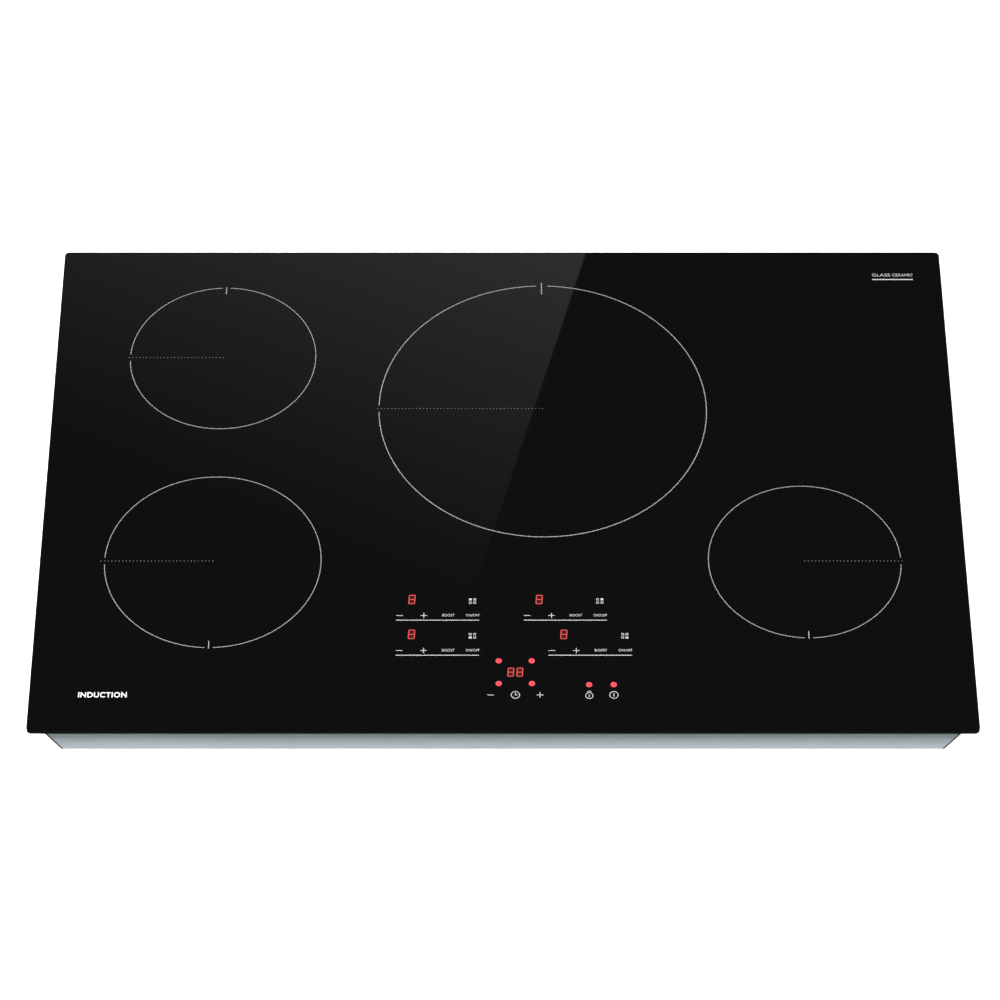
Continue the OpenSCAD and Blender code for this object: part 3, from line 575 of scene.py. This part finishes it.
def digit(x, y, w, h):
    """A seven-segment eight, leaning slightly to the right."""
    line, lean, gap, margin = 0.55, 0.06, 0.12, 0.25
    sx, sy = w / 2 - line / 2, h / 2 - line / 2

    def segment(start, end):
        """A bar with pointed ends."""
        along = (Vector(end) - Vector(start)).normalized()
        across = Vector((-along.y, along.x)) * line / 2
        inset = along * line / 2
        a, b = Vector(start) + along * gap, Vector(end) - along * gap
        points = [a, a + inset - across, b - inset - across, b, b - inset + across, a + inset + across]
        digits.shape([(x + p.x + lean * p.y, y + p.y) for p in points])

    for level in (-sy, 0, sy):
        segment((-sx, level), (sx, level))
    for side in (-sx, sx):
        segment((side, -sy), (side, 0))
        segment((side, 0), (side, sy))
    backs.bar(x, y, w + 2 * margin, h + 2 * margin, lean)


TIMER_DIGITS_X = (6.4, 13.7)
TIMER_DIGITS_Y = -201
for (x, y), _ in ROWS:
    digit(x + PITCH / 2, y + DIGIT_RISE, 5.4, 9.4)
for x in TIMER_DIGITS_X:
    digit(x, TIMER_DIGITS_Y, 5.2, 8.8)
digits.finish(lit)
backs.finish(lit_back)

# Four lamps round the timer's digits, one for each zone, and one above the lock and power signs
TIMER_LAMPS = [(TIMER[0] + i * 13.5, TIMER_DIGITS_Y + j * 11.5) for j in (1, -1) for i in (-1, 1)]
KEY_LAMPS = [(x, y + 10.4) for x, y in (LOCK, POWER)]
LAMP_CORE_R = 1.3
LAMP_R = 2.5

cores = Sheet("lit_dot_cores", LAMP_T)
rims = Sheet("lit_dot_rims")
rim_line = LAMP_R - LAMP_CORE_R
for x, y in TIMER_LAMPS + KEY_LAMPS:
    cores.dot(x, y, LAMP_CORE_R, 24)
    rims.arc(x, y, LAMP_CORE_R + rim_line / 2, rim_line, steps=32)
cores.finish(lit_dot)
rims.finish(lit_rim)


# ---- Camera ----------------------------------------------------------------------------------

LENS = 156.44
ELEVATION = 51.169
DISTANCE = 3653.8
SHIFT = 0.01063
AIM = Vector((-11.1, -20.93, TOP))

camera_data = bpy.data.cameras.new("camera")
camera_data.lens = LENS
camera_data.sensor_width = 36
camera_data.shift_x = SHIFT
camera = bpy.data.objects.new("camera", camera_data)
elevation = math.radians(ELEVATION)
camera.location = (AIM + DISTANCE * Vector((0, -math.cos(elevation), math.sin(elevation)))) * MM
camera.rotation_euler = (math.radians(90) - elevation, 0, 0)
bpy.context.scene.collection.objects.link(camera)
bpy.context.scene.camera = camera


# ---- Studio ----------------------------------------------------------------------------------

def emitter(name, color=(1, 1, 1), strength=1.0):
    mat = bpy.data.materials.new(name)
    mat.use_nodes = True
    tree = mat.node_tree
    tree.nodes.clear()
    out = tree.nodes.new("ShaderNodeOutputMaterial")
    emission = tree.nodes.new("ShaderNodeEmission")
    emission.inputs["Color"].default_value = (*color, 1)
    emission.inputs["Strength"].default_value = strength
    return mat, tree, emission, out


def make_floor():
    """A pale floor that glows a little, so that it stays white and shadows on it stay faint."""
    half = 30.0
    mesh = bpy.data.meshes.new("floor")
    mesh.from_pydata([(i * half, j * half, 0) for i, j in SQUARE], [], [(0, 1, 2, 3)])
    mat, tree, shader = new_material("pale_floor")
    grain = noise(tree, object_coords(tree), 30, 2)
    tree.links.new(two_tone(tree, grain, (0.78, 0.78, 0.78), (0.8, 0.8, 0.8)), shader.inputs["Base Color"])
    shader.inputs["Roughness"].default_value = 0.9
    shader.inputs["Specular IOR Level"].default_value = 0.0
    shader.inputs["Emission Color"].default_value = (1, 1, 1, 1)
    shader.inputs["Emission Strength"].default_value = 0.8
    mesh.materials.append(mat)
    floor = bpy.data.objects.new("floor", mesh)
    bpy.context.scene.collection.objects.link(floor)


def make_card():
    """A glowing card behind and above the object, which the polished glass mirrors.

    The card is planned on the glass and thrown up from the camera's mirror image through each
    point, so its slanting right edge shows across the middle of the glass. Its glow is
    strongest at the back of that edge and fades towards the left and the front.
    """
    height, peak, steps = 2000.0, 0.9, 40
    left, front, depth = -470, -300, 640
    back_y, edge_at_back, edge_slope = 260, 74.2, 90 / 345
    fade_y, fade_x, fade_power = 0.0024, 0.032 / 30, 1.45
    eye = camera.location / MM
    mirror_eye = Vector((eye.x, eye.y, 2 * TOP - eye.z))
    scale = (height - mirror_eye.z) / (TOP - mirror_eye.z)
    verts, glow, faces = [], [], []
    for j in range(steps + 1):
        y = front + depth * j / steps
        edge = edge_at_back + (y - back_y) * edge_slope
        for i in range(steps + 1):
            x = left + (edge - left) * i / steps
            point = mirror_eye + (Vector((x, y, TOP)) - mirror_eye) * scale
            verts.append(point * MM)
            level = max(0.0, 1 - fade_y * (back_y - y) - fade_x * (edge - x))
            glow.append(peak * level ** fade_power)
    for j in range(steps):
        for i in range(steps):
            a = j * (steps + 1) + i
            faces.append((a, a + 1, a + steps + 2, a + steps + 1))
    mesh = bpy.data.meshes.new("reflector_card")
    mesh.from_pydata(verts, [], faces)
    values = mesh.attributes.new("glow", "FLOAT", "POINT")
    for index, value in enumerate(glow):
        values.data[index].value = value
    mat, tree, emission, out = emitter("card_glow")
    attribute = tree.nodes.new("ShaderNodeAttribute")
    attribute.attribute_name = "glow"
    tree.links.new(attribute.outputs["Fac"], emission.inputs["Strength"])
    clear = tree.nodes.new("ShaderNodeBsdfTransparent")
    both = tree.nodes.new("ShaderNodeAddShader")
    tree.links.new(emission.outputs["Emission"], both.inputs[0])
    tree.links.new(clear.outputs["BSDF"], both.inputs[1])
    tree.links.new(both.outputs["Shader"], out.inputs["Surface"])
    mesh.materials.append(mat)
    card = bpy.data.objects.new("reflector_card", mesh)
    card.visible_camera = False
    card.visible_shadow = False
    bpy.context.scene.collection.objects.link(card)


def make_surround():
    """A grey mat on the floor around the object, unseen by the camera.

    It keeps the glare of the white floor off the sheet metal and the ground glass edge.
    """
    inner, outer, lift = (0.362, 0.236), (0.9, 0.8), 0.0004
    verts = [(i * w, j * d, lift) for w, d in (inner, outer) for i, j in SQUARE]
    mesh = bpy.data.meshes.new("grey_mat")
    mesh.from_pydata(verts, [], [(4 + i, 4 + (i + 1) % 4, (i + 1) % 4, i) for i in range(4)])
    mat, tree, emission, out = emitter("mat_glow", (0.9, 0.98, 1.0), 0.17)
    tree.links.new(emission.outputs["Emission"], out.inputs["Surface"])
    mesh.materials.append(mat)
    surround = bpy.data.objects.new("grey_mat", mesh)
    surround.visible_camera = False
    surround.visible_shadow = False
    bpy.context.scene.collection.objects.link(surround)


def make_light(name, place, size, power, target=(0, 0, 0.03)):
    data = bpy.data.lights.new(name, "AREA")
    data.shape = "RECTANGLE"
    data.size, data.size_y = size
    data.energy = power
    light = bpy.data.objects.new(name, data)
    light.location = place
    light.rotation_euler = (Vector(target) - Vector(place)).to_track_quat("-Z", "Y").to_euler()
    bpy.context.scene.collection.objects.link(light)


def make_world():
    """Pale walls near the horizon and a dark ceiling, so that the glass looks black from above."""
    world = bpy.data.worlds.new("studio")
    bpy.context.scene.world = world
    world.use_nodes = True
    tree = world.node_tree
    background = tree.nodes["Background"]
    coords = tree.nodes.new("ShaderNodeTexCoord")
    split = tree.nodes.new("ShaderNodeSeparateXYZ")
    tree.links.new(coords.outputs["Generated"], split.inputs["Vector"])
    ramp = tree.nodes.new("ShaderNodeValToRGB")
    ramp.color_ramp.elements[0].position = 0.16
    ramp.color_ramp.elements[0].color = (0.4, 0.4, 0.4, 1)
    ramp.color_ramp.elements[1].position = 0.5
    ramp.color_ramp.elements[1].color = (0.13, 0.13, 0.13, 1)
    tree.links.new(split.outputs["Z"], ramp.inputs["Fac"])
    tree.links.new(ramp.outputs["Color"], background.inputs["Color"])
    background.inputs["Strength"].default_value = 1.0


make_floor()
make_card()
make_surround()
make_world()
make_light("key", (-0.35, -1.66, 2.93), (2.4, 0.65), 315)
make_light("fill", (1.8, -1.4, 1.8), (1.4, 1.0), 8)

bpy.context.scene.view_settings.view_transform = "Standard"
